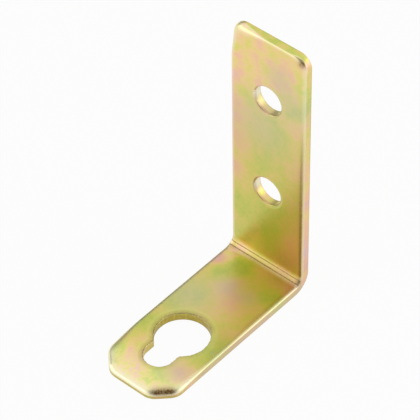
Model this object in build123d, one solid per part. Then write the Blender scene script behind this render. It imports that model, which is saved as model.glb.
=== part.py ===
from build123d import *
import os

# A hanging bracket for a cabinet, folded from one strip of sheet steel.
# The upright leg is screwed on through two round holes.
# The horizontal leg, the foot, has a keyhole that drops over the head of a screw and slides home.
# The strip was punched from its inner side, so the edges there are rolled over and the outer ones are sharp.
#
# Frame: X runs from the upright to the free end of the foot, Y across the strip, Z up.
# The origin is under the middle of the whole bracket, level with the underside of the foot.
# All sizes are in millimetres.

# The strip and its fold
strip_width = 18.0
sheet = 2.0
upright_height = 60.0
foot_length = 42.6
fold_inside_radius = 2.0

# The outline of the two ends
top_corner_radius = 2.8
end_cut_along = 3.9
end_cut_across = 3.9
end_cut_blend = 3.6

# The screw holes in the upright
screw_hole_diameter = 6.5
screw_hole_below_top = 14.8
screw_hole_pitch = 23.7

# The keyhole in the foot
eye_diameter = 11.1
eye_from_free_end = 15.4
slot_width = 6.4
slot_travel = 6.6
neck_radius = 0.6

# What the punch rolls over on the inner side: the strip's outline, the screw holes and a wide shallow dish
outline_roll = 0.5
screw_hole_roll = 0.35
dish_width = 1.2
dish_depth = 0.16

# Places worked out from the sizes above
half_width = strip_width / 2
back_x = -foot_length / 2
front_x = foot_length / 2
inner_x = back_x + sheet
fold_outside_radius = fold_inside_radius + sheet
upper_hole_z = upright_height - screw_hole_below_top
lower_hole_z = upper_hole_z - screw_hole_pitch
eye_x = front_x - eye_from_free_end
slot_x = eye_x + slot_travel / 2
slot_end_x = eye_x + slot_travel
punch_reach = 2 * sheet
fine = 0.001


def folded_strip():
    """The L-shaped section with its round fold, drawn from the side and carried across the width."""
    corners = [
        (back_x, 0),
        (front_x, 0),
        (front_x, sheet),
        (inner_x, sheet),
        (inner_x, upright_height),
        (back_x, upright_height),
    ]
    with BuildPart() as strip:
        with BuildSketch(Plane.XZ) as section:
            with BuildLine():
                Polyline(*corners, close=True)
            make_face()
            fillet(corner_at(section, back_x, 0), fold_outside_radius)
            fillet(corner_at(section, inner_x, sheet), fold_inside_radius)
        extrude(amount=half_width, both=True)
    return strip.part


def corner_at(sketch, x, y):
    """The sketch's corner at one point of its own plane."""
    return sketch.vertices().filter_by(lambda v: abs(v.X - x) < fine and abs(v.Y - y) < fine)


def foot_outline():
    """The foot seen from above: the free end has both corners cut off, and each cut is blended in."""
    corners = [
        (back_x, -half_width),
        (front_x - end_cut_along, -half_width),
        (front_x, -half_width + end_cut_across),
        (front_x, half_width - end_cut_across),
        (front_x - end_cut_along, half_width),
        (back_x, half_width),
    ]
    with BuildPart() as outline:
        with BuildSketch() as plan:
            with BuildLine():
                Polyline(*corners, close=True)
            make_face()
            fillet(plan.vertices().filter_by(lambda v: v.X > back_x + fine), end_cut_blend)
        extrude(amount=upright_height)
    return outline.part


def upright_outline():
    """The upright seen from the front: round corners at the top."""
    with BuildPart() as outline:
        with BuildSketch(Plane.YZ.offset(back_x)) as front:
            with Locations((0, upright_height / 2)):
                Rectangle(strip_width, upright_height)
            fillet(front.vertices().group_by(Axis.Y)[-1], top_corner_radius)
        extrude(amount=foot_length)
    return outline.part


def is_inner(face):
    """True for the foot's upper face, the upright's front face and the inside of the fold."""
    middle = face.center()
    above_foot = middle.Z > sheet - fine
    before_upright = middle.X > inner_x - fine
    across = abs(face.normal_at().Y) > 0.5
    return above_foot and before_upright and not across


def inner_outline(solid):
    """The edges round the inner side of the strip: those that only one of the inner faces has."""
    edges = [edge for face in solid.faces().filter_by(is_inner) for edge in face.outer_wire().edges()]
    return [edge for edge in edges if edges.count(edge) == 1]


def screw_punches():
    """Two round punches through the upright, one above the other."""
    with BuildPart() as punches:
        with BuildSketch(Plane.YZ.offset(inner_x)):
            with Locations((0, upper_hole_z), (0, lower_hole_z)):
                Circle(screw_hole_diameter / 2)
        extrude(amount=punch_reach, both=True)
    return punches.part


def keyhole_punch():
    """A round eye that runs into a narrower slot with a round end, with the two necks between them eased."""
    with BuildPart() as punch:
        with BuildSketch(Plane.XY.offset(sheet)) as shape:
            with Locations((eye_x, 0)):
                Circle(eye_diameter / 2)
            with Locations((slot_x, 0)):
                SlotCenterToCenter(slot_travel, slot_width)
            fillet(shape.vertices().filter_by(lambda v: eye_x < v.X < slot_end_x - fine), neck_radius)
        extrude(amount=punch_reach, both=True)
    return punch.part


def keyhole_dish():
    """The shallow dish that the punch draws down round the keyhole, widest at the surface."""
    levels = [(sheet - dish_depth, 0), (sheet, dish_width)]
    with BuildPart() as dish:
        for level, spread in levels:
            with BuildSketch(Plane.XY.offset(level)):
                with Locations((eye_x, 0)):
                    Circle(eye_diameter / 2 + spread)
        loft(ruled=True)
        for level, spread in levels:
            with BuildSketch(Plane.XY.offset(level)):
                with Locations((slot_x, 0)):
                    SlotCenterToCenter(slot_travel, slot_width + 2 * spread)
        loft(ruled=True)
    return dish.part


def screw_hole_rims(solid):
    """The rims of the screw holes on the upright's front face."""
    front_faces = solid.faces().filter_by(is_inner).filter_by(Axis.X)
    return front_faces.sort_by(SortBy.AREA)[-1].inner_wires().edges()


bracket = folded_strip() & foot_outline() & upright_outline()
bracket = fillet(inner_outline(bracket), outline_roll)
bracket -= keyhole_dish()
bracket -= keyhole_punch()
bracket -= screw_punches()
bracket = fillet(screw_hole_rims(bracket), screw_hole_roll)
bracket.label = "bracket"

os.makedirs("parts", exist_ok=True)
export_step(bracket, "parts/bracket.step")
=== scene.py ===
import math
from collections import namedtuple
import bmesh
import bpy
import numpy as np
from mathutils import Matrix, Vector
from mathutils.geometry import delaunay_2d_cdt


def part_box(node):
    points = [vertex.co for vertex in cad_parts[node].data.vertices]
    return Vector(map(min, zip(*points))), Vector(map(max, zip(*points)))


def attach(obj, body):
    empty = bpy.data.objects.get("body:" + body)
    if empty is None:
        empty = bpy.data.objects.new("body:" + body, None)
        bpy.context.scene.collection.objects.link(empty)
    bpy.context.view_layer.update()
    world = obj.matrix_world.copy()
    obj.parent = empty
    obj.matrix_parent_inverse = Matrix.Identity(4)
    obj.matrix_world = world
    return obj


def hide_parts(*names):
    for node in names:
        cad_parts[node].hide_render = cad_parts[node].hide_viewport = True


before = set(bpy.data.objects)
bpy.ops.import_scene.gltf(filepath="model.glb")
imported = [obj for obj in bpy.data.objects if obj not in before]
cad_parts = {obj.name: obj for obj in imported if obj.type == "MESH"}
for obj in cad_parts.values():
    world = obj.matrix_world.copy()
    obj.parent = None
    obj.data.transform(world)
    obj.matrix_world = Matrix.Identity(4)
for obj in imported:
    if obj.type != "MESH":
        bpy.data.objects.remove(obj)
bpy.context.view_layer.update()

# A hanging bracket folded from one strip of steel and plated in yellow chromated zinc.
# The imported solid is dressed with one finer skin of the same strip: its rolled and cut edges are drawn
# as the punch leaves them, and the corner of the fold as the press leaves it.
# Shapes are worked out in millimetres, in the frame's own axes, and turned to metres at the end.

MM = 0.001

# The strip, as the solid has it: its box, then the sizes that the box doesn't give
LOW, HIGH = (np.array(corner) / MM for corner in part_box("bracket"))
SHEET = 2.0
FOLD_RADIUS = 2.0
TOP_CORNER = 2.8
END_CUT = 3.9
END_BLEND = 3.6
SCREW_HOLE = 6.5
SCREW_HOLES_BELOW_TOP = (14.8, 38.5)
EYE = 11.1
EYE_FROM_END = 15.4
SLOT = 6.4
SLOT_TRAVEL = 6.6
NECK = 0.6

# Places worked out from those sizes
HALF = HIGH[1]
BACK_X = LOW[0]
FRONT_X = HIGH[0]
TOP_Z = HIGH[2]
INNER_X = BACK_X + SHEET
FOLD_X = INNER_X + FOLD_RADIUS
FOLD_Z = SHEET + FOLD_RADIUS
FOLD_ARC = FOLD_RADIUS * math.pi / 2
EYE_X = FRONT_X - EYE_FROM_END

# The edges, as width and depth of what the punch rolls over: along the sides, along the top, at the free
# end, at the top corners, round a screw hole and round the keyhole, which has a shallow dish outside it
SIDE_ROLL = np.array((0.95, 0.36))
TOP_ROLL = np.array((0.7, 0.22))
END_ROLL = np.array((2.9, 1.3))
LEFT_CORNER_ROLL = np.array((2.4, 1.5))
RIGHT_CORNER_ROLL = np.array((1.2, 0.85))
SCREW_HOLE_ROLL = np.array((0.7, 0.3))
KEYHOLE_ROLL = np.array((0.16, 0.12))
DISH = (1.0, 0.1)

# Where the rolls change from one to the next: two places along X for the free end's, two distances from
# each top corner for theirs, and two heights for the top's
END_ROLL_GROWS = (8.0, 19.5)
LEFT_CORNER_FADES = (1.2, 9.0)
RIGHT_CORNER_FADES = (1.0, 4.0)
TOP_ROLL_GROWS = (TOP_Z - 3, TOP_Z - 0.3)

# How gently the widest rolls start: how much wider their curve is there, and over what turn that fades
EASE = 6.0
EASE_TURN = math.radians(12)

# The cut walls: how far they lean, the radius of the burr, and the strip of flat kept beside an edge
CUT_TAPER = 0.03
BURR = 0.09
FLAT_RIM = 0.12

# How far the punch tears the keyhole's rim, and how deep in the wall the tear starts to fade and ends
TEAR = 0.05
TEAR_FADES = (0.3, 0.9)

# The two lines that the nose of the press leaves in the fold, as lengths round the bend from the foot,
# and a band of painted shade in the crease below the lower one: where it starts and is full below the
# line, where it ends beside it, and how much it shows
TOOL_LINES = FOLD_RADIUS * np.radians((29.0, 53.5))
TOOL_LINE_WIDTHS = (0.14, 0.1)
TOOL_LINE_DEPTH = 0.02
CREASE_SHADE_BAND = (TOOL_LINES[0] - 0.9, TOOL_LINES[0] - 0.4)
CREASE_SHADE_END = (TOOL_LINES[0] - 0.05, TOOL_LINES[0] + 0.05)
CREASE_SHADE_SHARE = 0.3

# How finely the skin is drawn, and how close its points lie when they are merged
STRAIGHT_STEP = 0.4
ARC_STEP = 0.16
FILL_STEP = 0.55
FILL_MARGIN = 0.6 * FILL_STEP
ROLL_ROWS = 13
SUM_STEPS = 40
CUT_ROWS = 6
BURR_ROWS = 4
FOLD_STEP = 0.12
FOLD_SPREAD = 0.9
LINE_ROWS = 9
LINE_REACH = 2.4
LINE_MARGIN = 0.02
MERGE_DISTANCE = 0.002
TINY_EDGE = 0.0005
KEYHOLE_POINTS = {"eye": 190, "neck": 9, "side": 12, "end": 60}


def on_foot(p, q, depth):
    """A place on the foot: p along X, q across, depth below the upper face."""
    return np.stack([p, q, SHEET - depth], axis=-1)


def on_upright(p, q, depth):
    """A place on the upright: p up Z, q across, depth behind the front face."""
    return np.stack([INNER_X - depth, q, p], axis=-1)


def on_fold(along, q, depth):
    """A place near the fold: along is the length over the inner face, from the foot's end of the bend.
    Between 0 and FOLD_ARC it turns about the bend's axis, and past either end it runs on straight."""
    turned = np.clip(along, 0, FOLD_ARC) / FOLD_RADIUS
    before = np.minimum(along, 0)
    after = np.maximum(along - FOLD_ARC, 0)
    reach = FOLD_RADIUS + depth
    x = FOLD_X - before - reach * np.sin(turned)
    z = FOLD_Z + after - reach * np.cos(turned)
    return np.stack([x, q, z], axis=-1)


def rises(x, low, high):
    """0 below low, 1 above high, and an even S between."""
    share = np.clip((x - low) / (high - low), 0, 1)
    return share * share * (3 - 2 * share)


def falls(x, low, high):
    """1 below low, 0 above high, and an even S between."""
    return rises(-x, -high, -low)


def bell(x, middle, reach):
    """1 in the middle and 0.37 at the reach on either side: exp of minus the squared share of the reach."""
    return np.exp(-((x - middle) / reach) ** 2)


def arc(centre, radius, start, end, step=ARC_STEP):
    """Points on a circle's arc from one angle to another, in radians, and the way from its centre."""
    count = max(int(radius * abs(end - start) / step), 6) + 1
    angle = np.linspace(start, end, count)
    away = np.stack([np.cos(angle), np.sin(angle)], axis=-1)
    return centre + radius * away, away


def rounded_path(corners, radii):
    """An open line through the corners, each inner corner rounded to its radius. Returns its points and
    the way out of the sheet at each: the line turns left all the way, so that is to its right."""
    corners = np.array(corners, float)
    heading = np.diff(corners, axis=0)
    heading /= np.linalg.norm(heading, axis=1, keepdims=True)
    right = np.stack([heading[:, 1], -heading[:, 0]], axis=-1)
    points = []
    away = []
    start = corners[0]
    for i, radius in enumerate(radii):
        bend = math.acos(np.clip(heading[i] @ heading[i + 1], -1, 1))
        tangent = radius * math.tan(bend / 2)
        stop = corners[i + 1] - heading[i] * tangent
        add_straight(points, away, start, stop, right[i])
        first = math.atan2(right[i, 1], right[i, 0])
        turn, normal = arc(stop - right[i] * radius, radius, first, first + bend)
        points.append(turn[:-1])
        away.append(normal[:-1])
        start = turn[-1]
    add_straight(points, away, start, corners[-1], right[-1])
    points.append(corners[-1:])
    away.append(right[-1:])
    return np.vstack(points), np.vstack(away)


def add_straight(points, away, start, stop, right):
    """Adds an even run of points from start up to, but not at, stop."""
    count = max(int(np.linalg.norm(stop - start) / STRAIGHT_STEP), 1)
    share = np.linspace(0, 1, count, endpoint=False)[:, None]
    points.append(start + (stop - start) * share)
    away.append(np.repeat(right[None], count, axis=0))


Rows = namedtuple("Rows", "inset down cut roll")


def roll_shape(ease):
    """A quarter turn from the flat face to the cut wall, as shares of the roll's width still to go and of
    its depth so far. The radius is 1 plus ease times exp(-turn / EASE_TURN), so a large ease starts
    gently. It is summed in fine steps, and each row takes the sum so far."""
    turn = np.linspace(0, math.pi / 2, SUM_STEPS * (ROLL_ROWS - 1) + 1)
    radius = 1 + ease * np.exp(-turn / EASE_TURN)
    out = running_sum(radius * np.cos(turn))
    down = running_sum(radius * np.sin(turn))
    return 1 - out[::SUM_STEPS] / out[-1], down[::SUM_STEPS] / down[-1]


def running_sum(values):
    """The running integral of evenly spaced values by the trapezium rule, in steps of one."""
    return np.concatenate([[0.0], np.cumsum((values[1:] + values[:-1]) / 2)])


def edge_rows(size, eased=0.0, dish=(0.0, 0.0)):
    """The rows of an edge, from the inner face over the edge to the outer face: how far in and how deep
    each lies, and whether it is on the cut wall or on the roll. A dish, if any, slopes down evenly first.
    Then come the roll, width by depth, the cut wall with its slight taper, and a quarter of a small
    circle where the plating rounds off the burr. size has one width and depth for each point, and eased
    is the share of the gentle start that each has."""
    width, depth = np.atleast_2d(size).T[:, :, None]
    eased = np.reshape(eased, (-1, 1))
    dish_width, dish_depth = dish
    edge = dish_depth + depth
    lead = [width + dish_width + FLAT_RIM]
    if dish_width:
        lead.append(width + dish_width)
    plain_in, plain_down = roll_shape(0.0)
    gentle_in, gentle_down = roll_shape(EASE)
    roll_in = width * (plain_in + (gentle_in - plain_in) * eased)
    roll_down = dish_depth + depth * (plain_down + (gentle_down - plain_down) * eased)
    share = np.linspace(0, 1, CUT_ROWS + 1)[1:]
    cut_in = CUT_TAPER * share + 0 * width
    cut_down = edge + (SHEET - BURR - edge) * share
    turn = np.linspace(0, math.pi / 2, BURR_ROWS)[1:]
    burr_in = CUT_TAPER + BURR * (1 - np.cos(turn)) + 0 * width
    burr_down = SHEET - BURR * (1 - np.sin(turn)) + 0 * width
    inset = np.hstack([*lead, roll_in, cut_in, burr_in, burr_in[:, -1:] + FLAT_RIM])
    level = [0 * row for row in lead]
    down = np.hstack([*level, roll_down, cut_down, burr_down, SHEET + 0 * width])
    first = len(lead)
    wall = first + ROLL_ROWS - 1
    roll = np.zeros(inset.shape[1])
    roll[first:wall + 1] = rises(np.linspace(0, 1, ROLL_ROWS), 0, 0.5)
    cut = np.zeros(inset.shape[1])
    cut[wall:wall + 1 + CUT_ROWS] = 1
    return Rows(inset, down, cut, roll)


def upper_inset():
    """How far in the inner face's sheet starts beside the fold."""
    return SIDE_ROLL[0] + FLAT_RIM


def lower_inset():
    """How far in the outer face's sheet starts beside the fold."""
    return CUT_TAPER + BURR + FLAT_RIM


def running_length(points):
    """The length along a line of points from its first to each of them."""
    steps = np.linalg.norm(np.diff(points, axis=0), axis=1)
    return np.concatenate([[0.0], np.cumsum(steps)])


def grid_faces(rows, columns, closed):
    """The quads of a grid of points, numbered row by row. closed joins the last row to the first."""
    i = np.arange(rows if closed else rows - 1)[:, None]
    j = np.arange(columns - 1)[None, :]
    after = (i + 1) % rows
    quads = [i * columns + j, i * columns + j + 1, after * columns + j + 1, after * columns + j]
    return np.stack(quads, axis=-1).reshape(-1, 4)


def crossings_inside(points, loop):
    """True for the points inside a closed loop, by counting the loop's sides to the right of each."""
    a = loop
    b = np.roll(loop, -1, axis=0)
    px = points[:, :1]
    py = points[:, 1:]
    spans = (a[:, 1] > py) != (b[:, 1] > py)
    rise = np.where(b[:, 1] == a[:, 1], 1, b[:, 1] - a[:, 1])
    crossing_x = a[:, 0] + (py - a[:, 1]) / rise * (b[:, 0] - a[:, 0])
    return (spans & (px < crossing_x)).sum(axis=1) % 2 == 1


def in_sheet(points, outer, holes):
    """True inside the outer loop and outside every hole."""
    inside = crossings_inside(points, outer)
    for hole in holes:
        inside &= ~crossings_inside(points, hole)
    return inside


def nearest(points, others):
    """The distance from each point to the nearest of the others, about 2000 points at a time."""
    result = np.empty(len(points))
    batches = len(points) // 2000 + 1
    for part in np.array_split(np.arange(len(points)), batches):
        gaps = points[part, None, :] - others[None, :, :]
        result[part] = np.sqrt((gaps ** 2).sum(axis=-1).min(axis=1))
    return result


def fill(outer, holes):
    """Triangles over the flat sheet between an outer loop and the loops of its holes.
    Points of an even staggered grid fill the middle, and Delaunay's rule joins them to the loops."""
    low = outer.min(axis=0)
    high = outer.max(axis=0)
    rows = np.arange(low[1], high[1], FILL_STEP * math.sqrt(0.75))
    columns = np.arange(low[0], high[0], FILL_STEP)
    shift = (np.arange(len(rows)) % 2)[:, None] * FILL_STEP / 2
    grid = np.stack([columns[None, :] + shift, rows[:, None] + 0 * columns[None, :]], axis=-1)
    grid = grid.reshape(-1, 2)
    loops = [outer, *holes]
    grid = grid[in_sheet(grid, outer, holes)]
    grid = grid[nearest(grid, np.vstack(loops)) > FILL_MARGIN]
    sides = []
    start = 0
    for loop in loops:
        index = start + np.arange(len(loop))
        sides.append(np.stack([index, np.roll(index, -1)], axis=-1))
        start += len(loop)
    points = np.vstack([*loops, grid])
    made = delaunay_2d_cdt([Vector(p) for p in points], np.vstack(sides).tolist(), [], 0, 1e-7)
    points = np.array([tuple(p) for p in made[0]])
    triangles = np.array(made[2])
    return points, triangles[in_sheet(points[triangles].mean(axis=1), outer, holes)]


class Skin:
    """The patches of one surface, gathered before they are joined: places, faces and some numbers for
    each point. cut is 1 on the cut walls, punched is 1 on those of the holes, roll is 1 on the rolled
    edges, and pressed is 1 on the tool lines and carries the painted shade in the crease below
    the lower one. depth is how deep in the sheet a point lies, from 0 on the inner face to 1 on the
    outer, and around is its length along its edge in mm."""

    def __init__(self):
        self.places = []
        self.faces = []
        self.count = 0
        self.numbers = {"cut": [], "punched": [], "roll": [], "pressed": [], "depth": [], "around": []}

    def add(self, places, faces, **numbers):
        self.places.append(places.reshape(-1, 3))
        self.faces += (faces + self.count).tolist()
        self.count += self.places[-1].shape[0]
        for name, kept in self.numbers.items():
            values = np.broadcast_to(numbers.get(name, 0.0), places.shape[:-1])
            kept.append(values.reshape(-1))


def add_edge(skin, place, points, away, rows, closed=False):
    """An edge's rows carried along its line. Returns its first and last rows, to fill between."""
    p = points[:, None, :] - away[:, None, :] * rows.inset[..., None]
    add_rows(skin, place, p, rows, running_length(points), closed)
    return p[:, 0], p[:, -1]


def add_rows(skin, place, p, rows, around, closed):
    """A grid of places from its points on the flat and their depths."""
    down = np.broadcast_to(rows.down, p.shape[:-1])
    skin.add(
        place(p[..., 0], p[..., 1], down), grid_faces(*down.shape, closed),
        cut=rows.cut, punched=closed * rows.cut, roll=rows.roll,
        depth=down / SHEET, around=around[:, None])


def add_sheet(skin, place, outer, holes, depth):
    """The flat sheet between an edge's row and the rows of its holes."""
    points, triangles = fill(outer, holes)
    places = place(points[:, 0], points[:, 1], depth + 0 * points[:, 0])
    skin.add(places, triangles, depth=depth / SHEET)


def across(inset):
    """Even places across the strip, from one inset edge to the other, its two ends left out."""
    half = HALF - inset
    count = int(2 * half / FILL_STEP)
    return np.linspace(-half, half, count + 1)[1:-1]


def close_with(line, end, inset):
    """The loop of an edge's row and the straight line at the fold that closes it."""
    q = across(inset)[::-1]
    return np.vstack([line, np.stack([end + 0 * q, q], axis=-1)])


def screw_hole(centre):
    """A screw hole's rim line, with the way into the hole at each point."""
    points, outward = arc(np.array(centre), SCREW_HOLE / 2, 0, 2 * math.pi)
    return points[:-1], -outward[:-1]


def keyhole_line(inset):
    """The keyhole grown by inset: the round eye, a neck arc, the slot's side, its round end, and back.
    Each neck keeps its centre as it is grown, so its radius shrinks, down to a near corner."""
    eye = EYE / 2 + inset
    slot = SLOT / 2 + inset
    neck = max(NECK - inset, 0.02)
    neck_x = EYE_X + math.sqrt((eye + neck) ** 2 - (slot + neck) ** 2)
    lean = math.atan2(slot + neck, neck_x - EYE_X)
    end_x = EYE_X + SLOT_TRAVEL
    quarter = math.pi / 2

    def turn(x, y, radius, start, end, count):
        angle = np.linspace(start, end, count, endpoint=False)
        return np.stack([x + radius * np.cos(angle), y + radius * np.sin(angle)], axis=-1)

    def side(y, start, end):
        x = np.linspace(start, end, KEYHOLE_POINTS["side"], endpoint=False)
        return np.stack([x, y + 0 * x], axis=-1)

    return np.vstack([
        turn(EYE_X, 0, eye, lean, 2 * math.pi - lean, KEYHOLE_POINTS["eye"]),
        turn(neck_x, -slot - neck, neck, math.pi - lean, quarter, KEYHOLE_POINTS["neck"]),
        side(-slot, neck_x, end_x),
        turn(end_x, 0, slot, -quarter, quarter, KEYHOLE_POINTS["end"]),
        side(slot, end_x, neck_x),
        turn(neck_x, slot + neck, neck, -quarter, lean - math.pi, KEYHOLE_POINTS["neck"]),
    ])


def torn(around):
    """How ragged the punch leaves the keyhole's rim, from -1 to 1 along its length in mm: three sines with
    waves of 1.9, 0.83 and 0.47 mm, the first of them swinging in step with a fourth, 7 mm long."""
    turn = 2 * math.pi * around
    swinging = 0.45 * np.sin(turn / 1.9 + 1.5 * np.sin(turn / 7))
    return swinging + 0.3 * np.sin(turn / 0.83) + 0.25 * np.sin(turn / 0.47)


def add_keyhole(skin):
    """The keyhole's dish, its ragged rim and its wall. Returns its first and last rows, to fill between.
    The tear moves the roll into the sheet or out of it, and down, and fades in the top of the wall."""
    rows = edge_rows(KEYHOLE_ROLL, dish=DISH)
    rings = np.stack([keyhole_line(inset) for inset in rows.inset[0]], axis=1)
    around = running_length(rings[:, -1])
    heading = np.roll(rings[:, -1], -1, axis=0) - np.roll(rings[:, -1], 1, axis=0)
    heading /= np.linalg.norm(heading, axis=1, keepdims=True)
    into_sheet = np.stack([heading[:, 1], -heading[:, 0]], axis=-1)
    on_wall = 0.5 * rows.cut * falls(rows.down[0], *TEAR_FADES)
    ragged = torn(around)[:, None] * np.maximum(rows.roll, on_wall)
    rings = rings + TEAR * into_sheet[:, None, :] * ragged[..., None]
    rows = rows._replace(down=rows.down + TEAR * np.abs(ragged))
    add_rows(skin, on_foot, rings, rows, around, closed=True)
    return rings[:, 0], rings[:, -1]


def add_foot(skin):
    """The foot: its outline, its keyhole and the sheet between them, above and below.
    The roll grows from its size beside the fold to its size at the free end over the last 13 mm."""
    start = FOLD_X + FOLD_SPREAD
    cut_x = FRONT_X - END_CUT
    cut_y = HALF - END_CUT
    corners = [
        (start, -HALF), (cut_x, -HALF), (FRONT_X, -cut_y), (FRONT_X, cut_y), (cut_x, HALF), (start, HALF)]
    points, away = rounded_path(corners, [END_BLEND] * 4)
    toward_end = rises(points[:, :1], *END_ROLL_GROWS)
    rows = edge_rows(SIDE_ROLL + (END_ROLL - SIDE_ROLL) * toward_end, toward_end)
    upper, lower = add_edge(skin, on_foot, points, away, rows)
    first, last = add_keyhole(skin)
    add_sheet(skin, on_foot, close_with(upper, start, upper_inset()), [first], 0)
    add_sheet(skin, on_foot, close_with(lower, start, lower_inset()), [last], SHEET)


def add_upright(skin):
    """The upright: its outline, its two screw holes and the sheet between them, front and back.
    The roll is deepest at the two top corners and fades away from them, over 9 mm at the left one and
    4 mm at the right one. Along the top between them it is tighter than along the sides."""
    start = FOLD_Z + FOLD_SPREAD
    corners = [(start, -HALF), (TOP_Z, -HALF), (TOP_Z, HALF), (start, HALF)]
    points, away = rounded_path(corners, [TOP_CORNER] * 2)
    from_corner = np.hypot(TOP_Z - points[:, :1], HALF - np.abs(points[:, 1:]))
    at_left = points[:, 1:] < 0
    near_corner = np.where(
        at_left, falls(from_corner, *LEFT_CORNER_FADES), falls(from_corner, *RIGHT_CORNER_FADES))
    corner_roll = np.where(at_left, LEFT_CORNER_ROLL, RIGHT_CORNER_ROLL)
    plain_roll = SIDE_ROLL + (TOP_ROLL - SIDE_ROLL) * rises(points[:, :1], *TOP_ROLL_GROWS)
    rows = edge_rows(plain_roll + (corner_roll - plain_roll) * near_corner)
    front, back = add_edge(skin, on_upright, points, away, rows)
    front_holes = []
    back_holes = []
    for below_top in SCREW_HOLES_BELOW_TOP:
        rim, into = screw_hole((TOP_Z - below_top, 0))
        hole_rows = edge_rows(SCREW_HOLE_ROLL)
        first, last = add_edge(skin, on_upright, rim, into, hole_rows, closed=True)
        front_holes.append(first)
        back_holes.append(last)
    add_sheet(skin, on_upright, close_with(front, start, upper_inset()), front_holes, 0)
    add_sheet(skin, on_upright, close_with(back, start, lower_inset()), back_holes, SHEET)


def fold_stations():
    """Places along the bend's inner face: even ones, and closer ones over the two tool lines."""
    even = np.arange(-FOLD_SPREAD, FOLD_ARC + FOLD_SPREAD, FOLD_STEP)
    close = np.arange(-LINE_ROWS, LINE_ROWS + 1) / LINE_ROWS * LINE_REACH
    lines = [place + close * width for place, width in zip(TOOL_LINES, TOOL_LINE_WIDTHS)]
    for line in lines:
        even = even[(even < line[0] - LINE_MARGIN) | (even > line[-1] + LINE_MARGIN)]
    return np.sort(np.concatenate([even, *lines, [FOLD_ARC + FOLD_SPREAD]]))[:, None]


def add_fold(skin):
    """The fold: the strip's closed section carried along the bend and a little way up and out.
    The nose of the press leaves two fine lines in the inner face, each a groove of a bell's shape, and a
    band of painted shade is laid in the crease below the lower one."""
    rows = edge_rows(SIDE_ROLL)
    inset = rows.inset[0]
    under = across(lower_inset())
    over = across(upper_inset())
    q = np.concatenate([HALF - inset, under[::-1], inset[::-1] - HALF, over, HALF - inset[:1]])

    def round_section(edge, low, high):
        return np.concatenate([edge, low + 0 * under, edge[::-1], high + 0 * over, edge[:1]])

    depth = round_section(rows.down[0], SHEET, 0)
    cut = round_section(rows.cut, 0, 0)
    roll = round_section(rows.roll, 0, 0)
    along = fold_stations()
    lines = sum(bell(along, place, width) for place, width in zip(TOOL_LINES, TOOL_LINE_WIDTHS))
    # Painted shade in the crease below the lower tool line
    crease_shade = CREASE_SHADE_SHARE * rises(along, *CREASE_SHADE_BAND) * falls(along, *CREASE_SHADE_END)
    on_inner_face = falls(depth, 0, SIDE_ROLL[1])
    pressed = np.maximum(lines, crease_shade) * on_inner_face
    down = depth + TOOL_LINE_DEPTH * lines * on_inner_face
    skin.add(
        on_fold(along + 0 * down, q + 0 * down, down), grid_faces(*down.shape, closed=False),
        cut=cut, roll=roll, pressed=pressed, depth=depth / SHEET, around=along)


def join(skin, name):
    """One closed mesh of all the patches, its seams merged and its faces turned outward."""
    mesh = bpy.data.meshes.new(name)
    mesh.from_pydata(np.vstack(skin.places) * MM, [], skin.faces)
    for number, values in skin.numbers.items():
        store(mesh, number, np.concatenate(values))
    work = bmesh.new()
    work.from_mesh(mesh)
    bmesh.ops.remove_doubles(work, verts=work.verts, dist=MERGE_DISTANCE * MM)
    bmesh.ops.dissolve_degenerate(work, edges=work.edges, dist=TINY_EDGE * MM)
    bmesh.ops.recalc_face_normals(work, faces=work.faces)
    open_edges = sum(1 for edge in work.edges if not edge.is_manifold)
    work.to_mesh(mesh)
    work.free()
    mesh.shade_smooth()
    print("skin", name, "faces", len(mesh.polygons), "open edges", open_edges)
    return mesh


def store(mesh, name, values):
    """Keeps one number for each vertex on the mesh, for a material to read."""
    mesh.attributes.new(name, "FLOAT", "POINT").data.foreach_set("value", values)


def kept_numbers(mesh, name):
    """The numbers that a mesh keeps for its vertices under one name."""
    values = np.empty(len(mesh.vertices))
    mesh.attributes[name].data.foreach_get("value", values)
    return values


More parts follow.
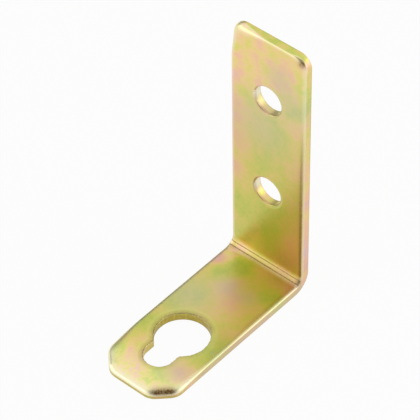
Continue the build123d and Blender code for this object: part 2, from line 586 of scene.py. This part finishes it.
# Where the chromate film is thinner or thicker than its average over a few millimetres: the place in mm,
# the reach of the spot and how much it shifts the film's tint, from rose at -0.5 to grey green at 0.5
THIN_AND_THICK_SPOTS = (
    (INNER_X, 0.0, 56.0, 6.0, -0.14),
    (INNER_X, -4.4, 50.6, 2.4, -0.16),
    (INNER_X, 4.6, 53.0, 1.8, -0.16),
    (INNER_X, 8.0, 51.0, 2.0, 0.26),
    (INNER_X, -8.0, 46.5, 1.8, -0.26),
    (INNER_X, -5.0, 43.4, 1.6, 0.24),
    (INNER_X, 4.5, 45.6, 2.0, 0.22),
    (INNER_X, -7.8, 42.0, 2.4, -0.22),
    (INNER_X, -7.8, 37.0, 3.0, -0.24),
    (INNER_X, -6.8, 31.0, 2.6, -0.20),
    (INNER_X, 1.0, 39.0, 5.0, 0.18),
    (INNER_X, -1.5, 29.0, 4.5, 0.16),
    (INNER_X, 8.4, 47.0, 1.8, 0.34),
    (INNER_X, 6.6, 41.5, 1.8, -0.20),
    (INNER_X, 7.4, 31.0, 2.2, -0.12),
    (INNER_X, -8.0, 23.5, 2.4, -0.26),
    (INNER_X, -5.5, 14.0, 5.0, 0.20),
    (INNER_X, 1.0, 19.0, 4.5, 0.16),
    (INNER_X, 0.6, 11.0, 3.2, 0.14),
    (INNER_X, -6.2, 5.6, 2.8, 0.20),
    (INNER_X, 7.0, 9.5, 3.6, -0.20),
    (-17.8, -6.0, SHEET, 2.2, -0.20),
    (-15.0, -3.4, SHEET, 2.6, 0.30),
    (-13.8, -7.9, SHEET, 1.4, -0.44),
    (-11.0, -5.6, SHEET, 2.2, 0.26),
    (-9.2, -1.2, SHEET, 2.6, -0.28),
    (-6.4, 1.4, SHEET, 2.4, -0.22),
    (-12.6, 6.9, SHEET, 2.2, 0.34),
    (-9.4, 3.8, SHEET, 2.0, -0.16),
    (-6.0, -4.6, SHEET, 2.6, 0.14),
    (-16.5, 7.6, SHEET, 2.0, -0.20),
    (-1.6, -6.8, SHEET, 4.0, 0.26),
    (8.0, -8.0, SHEET, 3.4, 0.26),
    (6.0, 7.8, SHEET, 4.0, 0.30),
    (11.8, -5.0, SHEET, 1.2, -0.16),
    (16.4, -4.4, SHEET, 2.0, -0.22),
    (17.4, -0.8, SHEET, 1.8, -0.26),
    (17.8, -7.0, SHEET, 2.0, 0.34),
    (16.2, 2.8, SHEET, 2.0, 0.26),
    (13.8, 6.2, SHEET, 2.4, -0.24),
)

# Where the film is so thin that the bracket looks greyer: the place and the reach
GREY_SPOTS = (
    (-3.0, -5.6, SHEET, 5.0),
    (INNER_X, -1.5, 38.5, 7.0),
    (INNER_X, 6.4, 47.0, 3.6),
    (INNER_X, 3.0, 52.4, 3.4),
    (14.4, 5.8, SHEET, 3.0),
    (-9.5, -1.6, SHEET, 2.4),
    (-9.6, 3.6, SHEET, 2.0),
)

# Painted dark reflections and shade in brown: along the roll of the free end's right cut and at the top
# right corner, where the rolls face the camera, and at the right end of the fold
PAINTED_DARK_SPOTS = (
    (17.9, 8.1, 1.7, 0.8),
    (18.7, 7.3, 1.7, 0.9),
    (19.6, 6.4, 1.7, 0.9),
    (20.4, 5.6, 1.7, 0.8),
    (INNER_X - 0.2, 8.0, 59.0, 0.75),
    (INNER_X + 0.5, 8.5, 2.7, 0.6),
)

# Painted shade: where the flat is painted browner, above the fold and beside the keyhole: the place, the
# reach and how much
BROWN_SHADE_PATCHES = (
    (INNER_X, 4.6, 5.0, 4.0, 0.32),
    (2.2, 7.0, SHEET, 3.2, 0.14),
)

# A painted highlight: a pale patch on the foot, beside the fold
PAINTED_HIGHLIGHT_PATCH = (-17.6, -5.6, SHEET, 2.2)

# Between which places along the legs a finish comes or goes, in mm: up Z on the upright, or along X on the
# foot, where the film is rosy about one place
ROSY_UPRIGHT_FADES = (15, 50)
ROSY_ROLL_FADES = (48, 56)
ROSY_FOOT_X = 0.5
ROSY_FOOT_FADES = (8, 14)
ROSY_FOLD_EDGE = 0.6
GREEN_TOP_Z = 59
# Painted light: the colour grows paler towards the top of the upright and the free end, and stays deeper
# between
LIT_TOP_GROWS = (30, 52)
LIT_END_GROWS = (8, 18)
# Painted shade on the foot's outer walls fades out between these
SHADED_WALL_FADES = (10, 14)
# Painted light: the free end is screened brighter between these
BARE_AND_LIT_END_GROWS = (13, 19)
# Darker walls at the free end, partly painted shade, grow between these
DULL_AND_SHADED_END_GROWS = (13, 18)
SLOT_STARTS = (EYE_X + 3, EYE_X + 5)

# Between which distances outside a hole's rim a finish goes, and between which heights over its middle
KEYHOLE_RIM_FADES = (0.12, 0.26)
# Painted shade round the screw holes' rims fades between the second pair
SCREW_RIM_SHADE_FADES = (0.1, 0.5)
UNRUBBED_ROLL_FADES = (0.7, 1.0)
# The glint, a painted highlight at the left of each screw hole, fades between these and over this height
GLINT_FADES = (0.15, 0.5)
GLINT_HEIGHT = 1.2
# Painted highlight: the screw holes' walls grow brighter upwards between these heights
LIT_HOLE_WALL_GROWS = (-2.4, 0.2)

# Painted shade: the thin brown lines just inside the rolls on the right stand in for the dark that they
# mirror; how far across, how wide, and where they fade
UPRIGHT_SHADE_LINE = (8.4, 0.35)
UPRIGHT_SHADE_LINE_FADES = (24, 46)
FOOT_SHADE_LINE = (8.15, 0.3)
FOOT_SHADE_LINE_FADES = (-6, 4)

# How deep a place may lie, as a share of the sheet, and still be part of the inner face or of a rim, and
# where the burr starts, with the painted contact shade that darkens it
INNER_DEPTH = 0.3
RIM_DEPTH = 0.2
BURR_AND_SHADE_GROWS = (0.92, 0.98)

# How much of its brown a rim keeps on its fainter side
FAINT = 0.15


def near_spot(places, spot):
    """How near the places are to a spot, its middle and its reach: exp of minus the squared distance over
    twice the square of three quarters of the reach."""
    *middle, reach = spot
    return np.exp(-((places - middle) ** 2).sum(axis=1) / (2 * (0.75 * reach) ** 2))


class Finish:
    """Every vertex of the skin, as whole arrays, for the numbers that its plating is drawn from. x, y and
    z are in mm. outer_wall is 1 on the strip's own cut walls and hole_wall on those of the screw holes.
    from_keyhole is the distance from the keyhole's outline, and from_screw_hole how far outside a screw
    hole's rim a place lies. above_hole is its height over the middle of the nearer screw hole. glint is 1
    at the left of each screw hole, where a painted highlight whitens the film."""

    def __init__(self, mesh):
        places = np.empty(len(mesh.vertices) * 3)
        mesh.vertices.foreach_get("co", places)
        self.places = places.reshape(-1, 3) / MM
        self.x, self.y, self.z = self.places.T
        self.cut = kept_numbers(mesh, "cut")
        self.punched = kept_numbers(mesh, "punched")
        self.roll = kept_numbers(mesh, "roll")
        self.pressed = kept_numbers(mesh, "pressed")
        self.depth = kept_numbers(mesh, "depth")
        self.on_upright = self.x < INNER_X + 0.05
        self.on_foot = ~self.on_upright
        self.inner = self.depth < INNER_DEPTH
        self.outer_wall = self.cut - self.punched
        self.hole_wall = self.punched * (self.z > FOLD_Z)
        keyhole = keyhole_line(0)
        self.from_keyhole = nearest(
            self.places, on_foot(keyhole[:, 0], keyhole[:, 1], 0 * keyhole[:, 0]))
        heights = [self.z - TOP_Z + below_top for below_top in SCREW_HOLES_BELOW_TOP]
        self.from_screw_hole = np.min([np.hypot(self.y, h) for h in heights], axis=0) - SCREW_HOLE / 2
        self.above_hole = np.where(np.abs(heights[0]) < np.abs(heights[1]), *heights)
        # The glint is a painted highlight at the left of each screw hole
        at_left = self.on_upright * (self.y < 0) * bell(self.above_hole, 0, GLINT_HEIGHT)
        self.glint = falls(self.from_screw_hole, *GLINT_FADES) * at_left
        # The pale patch beside the fold is a painted highlight
        self.painted_highlight_patch = near_spot(self.places, PAINTED_HIGHLIGHT_PATCH)


def film_tint(part):
    """The film's tint, before its fine mottle: an even middle, a shift about each thin or thick spot,
    rosier outer walls along the middle of the foot and low on the upright, greener ones along the top,
    and a rosier left roll, fold and screw hole wall."""
    tint = np.full(len(part.places), 0.5)
    for *spot, shift in THIN_AND_THICK_SPOTS:
        tint += shift * near_spot(part.places, spot)
    foot_middle = falls(np.abs(part.x - ROSY_FOOT_X), *ROSY_FOOT_FADES)
    low_upright = falls(part.z, *ROSY_UPRIGHT_FADES) * part.on_upright
    left_roll = part.roll * falls(part.z, *ROSY_ROLL_FADES) * (part.y < 0) * part.on_upright
    before_bend = falls(part.x, FOLD_X - ROSY_FOLD_EDGE, FOLD_X)
    in_fold = before_bend * falls(part.z, FOLD_Z - ROSY_FOLD_EDGE, FOLD_Z)
    tint += 0.2 * part.outer_wall * (part.z > GREEN_TOP_Z)
    tint -= 0.26 * part.outer_wall * np.maximum(foot_middle, low_upright)
    return tint - 0.2 * left_roll - 0.05 * in_fold - 0.12 * part.hole_wall


def greyness_and_wall_shade(part):
    """How grey the colour is: about the grey spots of thin film, and on the foot's outer walls but for the
    free end, where it is painted shade for the shaded floor that they mirror.
    """
    spots = sum(near_spot(part.places, spot) for spot in GREY_SPOTS)
    # Painted shade on the foot's outer walls
    walls = part.outer_wall * falls(part.x, *SHADED_WALL_FADES) * part.on_foot
    return np.clip(spots + walls, 0, 1)


def paleness_and_painted_light(part):
    """How pale the colour is: towards the top of the upright and towards the free end, as painted light;
    in the screw holes, partly a painted highlight; on the outer walls, the upright's above all, partly
    painted light where they mirror the open floor; and on the patch of painted highlight."""
    # Painted light towards the two ends, and painted shade where it is left deeper
    lit_two_ends = rises(part.z, *LIT_TOP_GROWS) + rises(part.x, *LIT_END_GROWS)
    walls = part.outer_wall * np.where(part.on_upright, 1.0, 0.3)
    return lit_two_ends + walls + part.hole_wall + part.painted_highlight_patch


def bareness_and_painted_light(part):
    """How far the colour is screened towards zinc: at the free end, as painted light that makes it
    brighter, with livelier flecks; in the screw holes, above all in their upper halves and at their left,
    as a painted highlight with the glint; and on the patch of painted highlight."""
    # Painted light: the free end and the screw holes' walls are screened brighter
    lit_free_end = rises(part.x, *BARE_AND_LIT_END_GROWS) * (1 - part.cut)
    holes = part.hole_wall * (0.3 + 0.7 * rises(part.above_hole, *LIT_HOLE_WALL_GROWS))
    return lit_free_end + holes + 0.5 * part.painted_highlight_patch + 0.8 * part.glint


def rubbed_edges_and_highlights(part):
    """Where the rolled edges are paled, as worn film and as a painted highlight that whitens what they
    reflect: everywhere but round the screw holes, which get their painted glint here.
    """
    # Worn film on the rolls, and painted highlights on them and at the glint
    near_screw_hole = falls(part.from_screw_hole, *UNRUBBED_ROLL_FADES) * part.on_upright
    return part.roll * (1 - 0.85 * near_screw_hole) + 1.5 * part.glint


def brownness_and_shade(part):
    """How brown the colour is, as the most of all its causes: the keyhole's torn rim and the tool lines,
    which are the film's own, and painted shade: in the fold's crease below the lower tool line, along the
    lines just inside the rolls on the right, at the burr with its contact shade, round the screw holes'
    rims and on the two patches, with dark reflections painted at the spots. The keyhole's rim is darkest
    where its wall faces the free end or the right, and a screw hole's in its lower half."""
    in_slot = part.x > EYE_X + 4
    facing = -np.where(in_slot, 0, part.x - EYE_X) - part.y
    keyhole_rim = falls(part.from_keyhole, *KEYHOLE_RIM_FADES) * (part.depth < RIM_DEPTH)
    keyhole_rim *= FAINT + (1 - FAINT) * rises(facing, -2, 2)
    # Painted shade on the screw holes' rims, strongest in their lower halves
    screw_rim_shade = falls(part.from_screw_hole, *SCREW_RIM_SHADE_FADES) * part.on_upright * part.inner
    screw_rim_shade *= FAINT + (1 - FAINT) * falls(part.above_hole, -1, 1)
    # Painted shade along the lines just inside the right-hand rolls
    upright_shade_line = bell(part.y, *UPRIGHT_SHADE_LINE) * falls(part.z, *UPRIGHT_SHADE_LINE_FADES)
    foot_shade_line = bell(part.y, *FOOT_SHADE_LINE) * falls(part.x, *FOOT_SHADE_LINE_FADES)
    # The burr is darkened with painted contact shade as well
    burr = rises(part.depth, *BURR_AND_SHADE_GROWS) * part.cut
    # Patches of painted shade
    causes = [share * near_spot(part.places, spot) for *spot, share in BROWN_SHADE_PATCHES]
    causes += [
        0.9 * keyhole_rim,
        0.95 * part.pressed,
        0.85 * sum(near_spot(part.places, spot) for spot in PAINTED_DARK_SPOTS),
        0.7 * upright_shade_line * part.on_upright * part.inner,
        0.25 * foot_shade_line * part.on_foot * part.inner,
        0.35 * burr,
        0.3 * screw_rim_shade,
    ]
    return np.clip(np.max(causes, axis=0), 0, 1)


def wall_dullness_and_shade(part):
    """How much of the dark streaked wall colour the cut walls take: most in the keyhole's eye, less in its
    slot, and little in the screw holes and on the outer walls but for the free end. It is the punch's dull
    streaks, and in the keyhole and at the free end painted shade as well."""
    # Painted shade: the keyhole's walls and the free end's walls take more of the dark wall colour
    holes = part.punched * (0.65 - 0.35 * rises(part.x, *SLOT_STARTS)) - 0.6 * part.hole_wall
    return 0.1 * part.cut + holes + 0.4 * part.outer_wall * rises(part.x, *DULL_AND_SHADED_END_GROWS)


def dish_halo_reflection(part):
    """Where the keyhole's dish is painted as a greener halo, a painted reflection of its slope: up to just
    past its edge.
    """
    edge = KEYHOLE_ROLL[0] + DISH[0]
    return falls(part.from_keyhole, edge, edge + 2 * FLAT_RIM) * (part.depth < RIM_DEPTH)


def build_bracket():
    """The whole skin, with the numbers that its plating is drawn from."""
    skin = Skin()
    add_foot(skin)
    add_upright(skin)
    add_fold(skin)
    mesh = join(skin, "folded_strip")
    part = Finish(mesh)
    # The numbers after film carry painted light, shade and reflections as well as the film's own colours
    store(mesh, "film", film_tint(part))
    store(mesh, "grey", greyness_and_wall_shade(part))
    store(mesh, "pale", paleness_and_painted_light(part))
    store(mesh, "bare_and_lit", bareness_and_painted_light(part))
    store(mesh, "rubbed_and_highlit", rubbed_edges_and_highlights(part))
    store(mesh, "brown", brownness_and_shade(part))
    store(mesh, "wall", wall_dullness_and_shade(part))
    store(mesh, "halo", dish_halo_reflection(part))
    bracket = bpy.data.objects.new("folded_strip", mesh)
    bpy.context.collection.objects.link(bracket)
    return bracket


def linear(code):
    """An sRGB hex colour as the linear values that shaders take."""
    srgb = np.array([int(code[i:i + 2], 16) for i in (1, 3, 5)]) / 255
    value = np.where(srgb <= 0.04045, srgb / 12.92, ((srgb + 0.055) / 1.055) ** 2.4)
    return (*value.tolist(), 1.0)


def add(tree, kind, inputs=None, stops=None, **settings):
    """Adds a node with its settings. Each input is a value or a node's socket, and stops fill a ramp."""
    node = tree.nodes.new(kind)
    for name, value in settings.items():
        setattr(node, name, value)
    for name, value in (inputs or {}).items():
        if isinstance(value, bpy.types.NodeSocket):
            tree.links.new(value, node.inputs[name])
        else:
            node.inputs[name].default_value = value
    if stops:
        ramp = node.color_ramp
        while len(ramp.elements) < len(stops):
            ramp.elements.new(0.5)
        for element, (place, code) in zip(ramp.elements, stops):
            element.position = place
            element.color = linear(code)
    return node


def new_material(name):
    """An empty node material and its output node."""
    material = bpy.data.materials.new(name)
    material.use_nodes = True
    material.node_tree.nodes.clear()
    return material, material.node_tree, material.node_tree.nodes.new("ShaderNodeOutputMaterial")


# The film's colours, from its thinnest to its thickest
FILM_COLOURS = [
    (0.0, "#E4C6C4"), (0.14, "#F2C2B2"), (0.28, "#F5CAA0"), (0.42, "#F3D594"),
    (0.55, "#E8D97E"), (0.68, "#D8DA74"), (0.82, "#C8D46C"), (1.0, "#C6C79C")]

# What the film's colour is multiplied by where it isn't pale, which is a painted shade between the two
# ends, then what it is mixed or screened with: greyer film that also paints shade on the foot's walls,
# zinc that also paints light, worn edges that also paint highlights, the dish's painted reflection, and
# brown that also paints shade
DEEP_FILM_AND_SHADE = "#EDEBE1"
GREY_FILM_AND_SHADE = "#CCC2A2"
BARE_ZINC_AND_SHEEN = "#959559"
RUBBED_ZINC_AND_HIGHLIGHT = "#FBF4DC"
DISH_REFLECTION_TINT = "#D6DD84"
BROWN_FILM_AND_SHADE = "#7E5A28"

# The cut walls' colours, from the torn lower part to the clean upper part, dark enough that they also
# paint shade in the keyhole and at the free end
WALL_AND_SHADE_COLOURS = [(0.1, "#88751C"), (0.35, "#9C8722"), (0.55, "#AF992E"), (0.75, "#C4AF46")]

# The sizes of the film's blots, of the mottle in them and of the strip's grain in mm, how many streaks
# the cut walls have to the mm, and the height of the grain in mm
BLOTS = 2.6
MOTTLE = 0.8
GRAIN = 0.35
STREAKS = 2.0
GRAIN_HEIGHT = 0.004

# Most of a noise lies between these
NOISE_LOW = 0.3
NOISE_HIGH = 0.7

# The numbers on the skin's vertices that the plating is drawn from
FINISH_NUMBERS = (
    "film", "grey", "pale", "bare_and_lit", "rubbed_and_highlit", "brown", "wall", "halo", "cut", "roll", "depth", "around")


def blotched_tint(tree, place, number):
    """The film's tint with its blots, livelier where it is pale, and its mottle, stronger where zinc shows.
    Returns the tint and the mottle."""
    blots = add(tree, "ShaderNodeTexNoise", {"Vector": place, "Scale": 1 / (BLOTS * MM), "Detail": 2.0})
    blots = add(tree, "ShaderNodeMapRange", {
        "Value": blots.outputs["Fac"], "From Min": NOISE_LOW, "From Max": NOISE_HIGH,
        "To Min": -0.22, "To Max": 0.22}, clamp=False)
    mottle = add(tree, "ShaderNodeTexNoise", {
        "Vector": place, "Scale": 1 / (MOTTLE * MM), "Detail": 2.0})
    mottle = add(tree, "ShaderNodeMapRange", {
        "Value": mottle.outputs["Fac"], "From Min": NOISE_LOW, "From Max": NOISE_HIGH,
        "To Min": -0.05, "To Max": 0.05}, clamp=False)
    lively = add(tree, "ShaderNodeMapRange", {
        "Value": number["pale"], "From Min": 0.3, "From Max": 1.0, "To Min": 0.4, "To Max": 0.85})
    tint = add(tree, "ShaderNodeMath", {
        0: blots.outputs[0], 1: lively.outputs[0], 2: number["film"]}, operation="MULTIPLY_ADD")
    flecks = add(tree, "ShaderNodeMath", {0: number["bare_and_lit"], 1: 4.0, 2: 1.0}, operation="MULTIPLY_ADD")
    tint = add(tree, "ShaderNodeMath", {
        0: mottle.outputs[0], 1: flecks.outputs[0], 2: tint.outputs[0]}, operation="MULTIPLY_ADD")
    return tint.outputs[0], mottle.outputs[0]


def film_colour(tree, tint, number):
    """The film's colour from its tint, then deeper between the two ends as painted shade, greyer, screened
    towards zinc as painted light, paled on the edges as wear and painted highlight, and greener in the
    dish as a painted reflection, by their numbers.
    In a mix of colours, socket 0 is the share, 6 and 7 are the two colours and output 2 is the result."""
    colour = add(tree, "ShaderNodeValToRGB", {"Fac": tint}, stops=FILM_COLOURS)
    # Painted shade: the colour is deepened wherever it isn't pale
    share = add(tree, "ShaderNodeMath", {0: 1.0, 1: number["pale"]}, operation="SUBTRACT", use_clamp=True)
    colour = add(tree, "ShaderNodeMix", {
        0: share.outputs[0], 6: colour.outputs["Color"], 7: linear(DEEP_FILM_AND_SHADE)},
        data_type="RGBA", blend_type="MULTIPLY")
    # Grey film, and painted shade on the foot's walls
    share = add(tree, "ShaderNodeMath", {0: number["grey"], 1: 0.55}, operation="MULTIPLY")
    colour = add(tree, "ShaderNodeMix", {
        0: share.outputs[0], 6: colour.outputs[2], 7: linear(GREY_FILM_AND_SHADE)}, data_type="RGBA")
    # Zinc screened in, which is mostly painted light
    colour = add(tree, "ShaderNodeMix", {
        0: number["bare_and_lit"], 6: colour.outputs[2], 7: linear(BARE_ZINC_AND_SHEEN)},
        data_type="RGBA", blend_type="SCREEN")
    # Worn edges and painted highlights
    share = add(tree, "ShaderNodeMath", {0: number["bare_and_lit"], 1: 0.3, 2: 0.35}, operation="MULTIPLY_ADD")
    share = add(tree, "ShaderNodeMath", {
        0: share.outputs[0], 1: number["rubbed_and_highlit"]}, operation="MULTIPLY")
    colour = add(tree, "ShaderNodeMix", {
        0: share.outputs[0], 6: colour.outputs[2], 7: linear(RUBBED_ZINC_AND_HIGHLIGHT)}, data_type="RGBA")
    # Painted reflection in the keyhole's dish
    share = add(tree, "ShaderNodeMath", {0: number["halo"], 1: 0.3}, operation="MULTIPLY")
    colour = add(tree, "ShaderNodeMix", {
        0: share.outputs[0], 6: colour.outputs[2], 7: linear(DISH_REFLECTION_TINT)}, data_type="RGBA")
    return colour.outputs[2]


def wall_and_shade_colour(tree, number):
    """The cut walls' colour: streaks that run down them, darker towards the torn lower part. Mixed in
    heavily, it also paints shade.
    """
    course = add(tree, "ShaderNodeCombineXYZ", {"X": number["around"], "Y": number["depth"]})
    streaks = add(tree, "ShaderNodeTexNoise", {
        "Vector": course.outputs[0], "Scale": STREAKS, "Detail": 1.0})
    torn_part = add(tree, "ShaderNodeMath", {
        0: number["depth"], 1: -0.2, 2: streaks.outputs["Fac"]}, operation="MULTIPLY_ADD")
    walls = add(tree, "ShaderNodeValToRGB", {"Fac": torn_part.outputs[0]}, stops=WALL_AND_SHADE_COLOURS)
    return walls.outputs["Color"]


def satin_roughness(tree, mottle, number):
    """Satin all over, a little smoother on the rolls, duller on the cut walls, uneven with the mottle."""
    dull = add(tree, "ShaderNodeMath", {0: number["roll"], 1: -0.03, 2: 0.32}, operation="MULTIPLY_ADD")
    dull = add(tree, "ShaderNodeMath", {
        0: number["cut"], 1: 0.08, 2: dull.outputs[0]}, operation="MULTIPLY_ADD")
    dull = add(tree, "ShaderNodeMath", {
        0: mottle, 1: 0.3, 2: dull.outputs[0]}, operation="MULTIPLY_ADD")
    return dull.outputs[0]


def chromated_zinc():
    """Bright zinc under a yellow chromate film, on cold-rolled strip.
    The film's thickness drifts over the part and changes from spot to spot, so the eye sees soft blots of
    straw yellow, peach, rose and green a few millimetres wide on a satin metal. It is painted paler towards
    the two ends and deeper between them, as painted light and shade. The cut walls are duller and faintly
    streaked the way the punch went, and darker in the keyhole and at the free end, where that is painted
    shade too. The film is brown on the keyhole's torn rim and on the lines that the press leaves; the brown
    also paints shade in the fold's crease, along the right-hand rolls, at the burr and round the screw
    holes, and dark reflections at a few spots. The edges are paled as wear and as painted highlights, a
    glint is painted at the left of each screw hole, and the keyhole's dish is painted greener as a
    reflection. The strip's rolled grain is drawn at 0.35 mm, where the real one is far finer than the
    render can show, and breaks up the brown too."""
    material, tree, output = new_material("yellow_chromated_zinc")
    place = add(tree, "ShaderNodeTexCoord").outputs["Object"]
    number = {
        name: add(tree, "ShaderNodeAttribute", attribute_name=name).outputs["Fac"]
        for name in FINISH_NUMBERS}
    tint, mottle = blotched_tint(tree, place, number)
    face = add(tree, "ShaderNodeMix", {
        0: number["wall"], 6: film_colour(tree, tint, number), 7: wall_and_shade_colour(tree, number)},
        data_type="RGBA")
    grain = add(tree, "ShaderNodeTexNoise", {"Vector": place, "Scale": 1 / (GRAIN * MM), "Detail": 1.0})
    broken = add(tree, "ShaderNodeMapRange", {
        "Value": grain.outputs["Fac"], "From Min": NOISE_LOW, "From Max": NOISE_HIGH,
        "To Min": 0.7, "To Max": 1.1})
    # Brown: the film's own on the torn rim and tool lines, painted shade and dark reflections elsewhere
    share = add(tree, "ShaderNodeMath", {
        0: number["brown"], 1: broken.outputs[0]}, operation="MULTIPLY", use_clamp=True)
    colour = add(tree, "ShaderNodeMix", {
        0: share.outputs[0], 6: face.outputs[2], 7: linear(BROWN_FILM_AND_SHADE)}, data_type="RGBA")
    relief = add(tree, "ShaderNodeBump", {
        "Height": grain.outputs["Fac"], "Strength": 0.4, "Distance": GRAIN_HEIGHT * MM})
    shader = add(tree, "ShaderNodeBsdfPrincipled", {
        "Base Color": colour.outputs[2], "Metallic": 1.0,
        "Roughness": satin_roughness(tree, mottle, number), "Normal": relief.outputs[0]})
    tree.links.new(shader.outputs[0], output.inputs["Surface"])
    return material


# How much of what the camera and mirrors see of the floor is plain white, and how much of its white the
# room gives as light
FLOOR_WHITE = 0.95
ROOM_LIGHT = 0.5

# The floor's half width in metres, and how far it lies under the foot in mm
FLOOR_REACH = 3.0
FLOOR_GAP = 0.02


def seen_by_eye_or_mirror(tree):
    """1 for camera rays and those that mirrors and glass send on, and 0 for the light on a surface."""
    path = add(tree, "ShaderNodeLightPath")
    seen = add(tree, "ShaderNodeMath", {
        0: path.outputs["Is Camera Ray"], 1: path.outputs["Is Glossy Ray"]}, operation="MAXIMUM")
    seen = add(tree, "ShaderNodeMath", {
        0: seen.outputs[0], 1: path.outputs["Is Transmission Ray"]}, operation="MAXIMUM")
    return seen.outputs[0]


def studio_floor():
    """A pale paper sweep: camera and mirror rays see most of it white, and the rest is its own shading,
    which keeps the bracket's shadow."""
    material, tree, output = new_material("pale_paper_sweep")
    share = add(tree, "ShaderNodeMath", {
        0: seen_by_eye_or_mirror(tree), 1: FLOOR_WHITE}, operation="MULTIPLY")
    paper = add(tree, "ShaderNodeBsdfDiffuse", {"Color": linear("#F8F8F6")})
    white = add(tree, "ShaderNodeEmission", {"Color": (1, 1, 1, 1), "Strength": 1.0})
    mix = add(tree, "ShaderNodeMixShader", {
        0: share.outputs[0], 1: paper.outputs[0], 2: white.outputs[0]})
    tree.links.new(mix.outputs[0], output.inputs["Surface"])
    return material


def stage_plane(name, place, half, material):
    """A flat square piece of the studio, put in its place, which isn't part of the bracket."""
    corners = [(-half, -half, 0), (half, -half, 0), (half, half, 0), (-half, half, 0)]
    mesh = bpy.data.meshes.new(name)
    mesh.from_pydata([place @ Vector(corner) for corner in corners], [], [(0, 1, 2, 3)])
    mesh.materials.append(material)
    plane = bpy.data.objects.new(name, mesh)
    bpy.context.collection.objects.link(plane)
    return plane


def light_room():
    """A room that is white all round for the camera and for mirrors. The light that it gives is softer
    than that white, so that the lamps can shape the bracket."""
    world = bpy.data.worlds.new("studio")
    bpy.context.scene.world = world
    world.use_nodes = True
    tree = world.node_tree
    tree.nodes.clear()
    level = add(tree, "ShaderNodeMix", {0: seen_by_eye_or_mirror(tree), 2: ROOM_LIGHT, 3: 1.0})
    room = add(tree, "ShaderNodeBackground", {"Color": (1, 1, 1, 1), "Strength": level.outputs[0]})
    output = tree.nodes.new("ShaderNodeOutputWorld")
    tree.links.new(room.outputs[0], output.inputs["Surface"])


def facing_middle(toward, distance):
    """Where something hangs that faces the middle of the bracket from one direction."""
    way = Vector(toward).normalized()
    middle = Vector((LOW + HIGH) / 2 * MM)
    turned = way.to_track_quat("Z", "Y").to_matrix().to_4x4()
    return Matrix.Translation(middle + way * distance) @ turned


def softbox(name, toward, distance, width, height, level):
    """An oblong area lamp that shows as level in a mirror: its power is level times pi times its area."""
    lamp = bpy.data.lights.new(name, "AREA")
    lamp.shape = "RECTANGLE"
    lamp.size = width
    lamp.size_y = height
    lamp.energy = level * math.pi * width * height
    box = bpy.data.objects.new(name, lamp)
    box.matrix_world = facing_middle(toward, distance)
    bpy.context.collection.objects.link(box)


def card(name, toward, distance, size, level):
    """A square grey card that only mirrors see. It gives metal its darker bands and throws no shade."""
    material, tree, output = new_material(name)
    grey = add(tree, "ShaderNodeEmission", {"Color": (1, 1, 1, 1), "Strength": level})
    tree.links.new(grey.outputs[0], output.inputs["Surface"])
    plane = stage_plane(name, facing_middle(toward, distance), size / 2, material)
    plane.visible_camera = False
    plane.visible_diffuse = False
    plane.visible_transmission = False
    plane.visible_volume_scatter = False
    plane.visible_shadow = False


# The camera, matched to the photograph's outline: where it looks from and its tilt in degrees, how far
# away it is and what it looks at in mm, and its lens on a sensor 36 mm wide
CAMERA_AZIMUTH = 41.68
CAMERA_ELEVATION = 45.06
CAMERA_ROLL = -0.945
CAMERA_DISTANCE = 546.0
CAMERA_AIM = (-18.82, -14.33, 7.66)
CAMERA_LENS = 235.9


def build_camera():
    """A long lens from the front right and above, at the photograph's angle."""
    turn, lift, roll = (math.radians(a) for a in (CAMERA_AZIMUTH, CAMERA_ELEVATION, CAMERA_ROLL))
    back = Vector((math.cos(turn) * math.cos(lift), math.sin(turn) * math.cos(lift), math.sin(lift)))
    level = Vector((-math.sin(turn), math.cos(turn), 0))
    right = level * math.cos(roll) + back.cross(level) * math.sin(roll)
    up = back.cross(right)
    lens = bpy.data.cameras.new("camera")
    lens.lens = CAMERA_LENS
    lens.sensor_width = 36.0
    lens.clip_start = 0.01
    camera = bpy.data.objects.new("camera", lens)
    place = Vector(CAMERA_AIM) * MM + back * CAMERA_DISTANCE * MM
    camera.matrix_world = Matrix.Translation(place) @ Matrix((right, up, back)).transposed().to_4x4()
    bpy.context.collection.objects.link(camera)
    bpy.context.scene.camera = camera


build_camera()
bracket = build_bracket()
bracket.data.materials.append(chromated_zinc())
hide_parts("bracket")
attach(bracket, "root")
stage_plane("floor", Matrix.Translation((0, 0, -FLOOR_GAP * MM)), FLOOR_REACH, studio_floor())
light_room()

# Two soft lamps shape the bracket, and three grey cards darken what its flat faces and left walls mirror.
# Directions are in the frame's axes, and distances and sizes in metres.
softbox("front_left_strip", (0.66, -0.74, 0.24), distance=0.7, width=0.8, height=0.3, level=0.6)
softbox("back_right_softbox", (-0.53, 0.74, 0.35), distance=0.7, width=0.6, height=0.46, level=0.9)
card("grey_card_by_the_camera", (0.5276, 0.4698, 0.7078), distance=0.75, size=0.95, level=0.45)
card("grey_card_at_the_left", (-0.53, -0.85, 0.3), distance=0.7, size=0.45, level=0.35)
card("grey_card_at_the_front_left", (-0.06, -0.97, 0.16), distance=0.7, size=0.36, level=0.45)
bpy.context.scene.view_settings.view_transform = "Standard"
